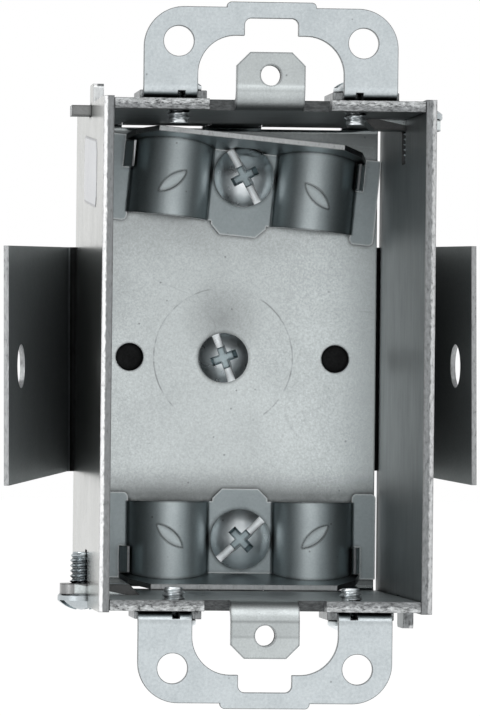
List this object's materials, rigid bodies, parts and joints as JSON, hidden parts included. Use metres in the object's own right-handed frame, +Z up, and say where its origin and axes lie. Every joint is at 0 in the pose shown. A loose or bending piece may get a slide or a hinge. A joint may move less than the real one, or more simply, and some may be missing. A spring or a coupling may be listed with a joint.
{
  "type": "switch box",
  "caption": "Gangable steel switch box for old work, with removable sides, plaster ears, internal saddle cable clamps and a spring bracket whose wings grip the wall board.",
  "frame": {"origin": "midway between the two device screw holes, on the front face of their tabs", "axes": "+Z up along the height of the box, -Y out of its opening, +X to the right seen from the front"},
  "size_m": [0.0716, 0.0706, 0.105],
  "materials": {
    "zinc_sheet": "glossy zinc-coated steel sheet with sheared edges",
    "spring_steel": "dark spring steel strip",
    "ear_sheet": "satin zinc-coated steel sheet",
    "clamp_sheet": "blue-grey zinc-plated pressing",
    "zinc_screw": "bright zinc-plated screw"
  },
  "bodies": {
    "box": {"box_body": "zinc_sheet", "left_side": "zinc_sheet", "right_side": "zinc_sheet", "spring_bracket": "spring_steel", "ear_screws": "zinc_screw", "gang_screws": "zinc_screw", "ground_screw": "zinc_screw"},
    "upper_ear": {"upper_ear": "ear_sheet"},
    "lower_ear": {"lower_ear": "ear_sheet"},
    "upper_clamp": {"upper_clamp": "clamp_sheet"},
    "upper_clamp_screw": {"upper_clamp_screw": "zinc_screw"},
    "lower_clamp": {"lower_clamp": "clamp_sheet"},
    "lower_clamp_screw": {"lower_clamp_screw": "zinc_screw"}
  },
  "joints": [
    {"name": "upper_ear_slide", "type": "slide", "parent": "box", "child": "upper_ear", "axis": [0, -1, 0], "range_m": [0, 0.0064]},
    {"name": "lower_ear_slide", "type": "slide", "parent": "box", "child": "lower_ear", "axis": [0, -1, 0], "range_m": [0, 0.0064]},
    {"name": "upper_clamp_slide", "type": "slide", "parent": "box", "child": "upper_clamp", "axis": [0, -1, 0], "range_m": [0, 0.00397]},
    {"name": "upper_clamp_screw_turn", "type": "hinge", "parent": "upper_clamp", "child": "upper_clamp_screw", "pos_m": [0.00135, 0.06106, 0.02861], "axis": [0, -1, 0], "range_deg": [0, 1800]},
    {"name": "lower_clamp_slide", "type": "slide", "parent": "box", "child": "lower_clamp", "axis": [0, -1, 0], "range_m": [0, 0.00397]},
    {"name": "lower_clamp_screw_turn", "type": "hinge", "parent": "lower_clamp", "child": "lower_clamp_screw", "pos_m": [0.00135, 0.06106, -0.02861], "axis": [0, -1, 0], "range_deg": [0, 1800]}
  ],
  "couplings": [
    {"joint": "upper_clamp_screw_turn", "follows": "upper_clamp_slide", "rad_per_m": 7915.8},
    {"joint": "lower_clamp_screw_turn", "follows": "lower_clamp_slide", "rad_per_m": 7915.8}
  ]
}
